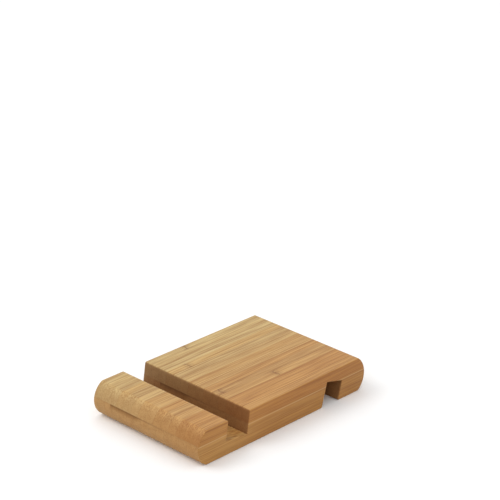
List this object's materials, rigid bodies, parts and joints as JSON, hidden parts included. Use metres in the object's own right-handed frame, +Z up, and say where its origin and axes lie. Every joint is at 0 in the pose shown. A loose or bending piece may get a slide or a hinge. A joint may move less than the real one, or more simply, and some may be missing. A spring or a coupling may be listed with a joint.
{
  "type": "tablet stand",
  "caption": "Low block stand of laminated bamboo with rounded ends, a leaning slot in the top for a tablet and a second slot in the underside for use turned over.",
  "frame": {"origin": "centre of the flat underside that the stand rests on", "axes": "+Z up out of the top face, +Y from the nose in front of the tablet slot to the tail behind, X across the stand along the slots"},
  "size_m": [0.08, 0.13, 0.02],
  "materials": {
    "bamboo": "sanded and oiled, satin"
  },
  "bodies": {
    "root": {"lip_strip_01": "bamboo", "lip_strip_02": "bamboo", "lip_strip_03": "bamboo", "lip_strip_04": "bamboo", "lip_strip_05": "bamboo", "lip_strip_06": "bamboo", "lip_strip_07": "bamboo", "lip_strip_08": "bamboo", "lip_strip_09": "bamboo", "lip_strip_10": "bamboo", "lip_strip_11": "bamboo", "lip_strip_12": "bamboo", "lip_strip_13": "bamboo", "lip_strip_14": "bamboo", "deck_strip_01": "bamboo", "deck_strip_02": "bamboo", "deck_strip_03": "bamboo", "deck_strip_04": "bamboo", "deck_strip_05": "bamboo", "deck_strip_06": "bamboo", "deck_strip_07": "bamboo", "deck_strip_08": "bamboo", "deck_strip_09": "bamboo", "deck_strip_10": "bamboo", "deck_strip_11": "bamboo", "deck_strip_12": "bamboo", "deck_strip_13": "bamboo", "deck_strip_14": "bamboo", "base_strip_01": "bamboo", "base_strip_02": "bamboo", "base_strip_03": "bamboo", "base_strip_04": "bamboo", "base_strip_05": "bamboo", "base_strip_06": "bamboo", "base_strip_07": "bamboo", "base_strip_08": "bamboo", "base_strip_09": "bamboo", "base_strip_10": "bamboo", "base_strip_11": "bamboo", "base_strip_12": "bamboo", "base_strip_13": "bamboo", "base_strip_14": "bamboo", "base_strip_15": "bamboo", "heel_strip_01": "bamboo", "heel_strip_02": "bamboo", "heel_strip_03": "bamboo", "heel_strip_04": "bamboo", "heel_strip_05": "bamboo", "heel_strip_06": "bamboo", "heel_strip_07": "bamboo", "heel_strip_08": "bamboo", "heel_strip_09": "bamboo", "heel_strip_10": "bamboo", "heel_strip_11": "bamboo", "heel_strip_12": "bamboo", "heel_strip_13": "bamboo", "heel_strip_14": "bamboo", "heel_strip_15": "bamboo"}
  },
  "joints": []
}
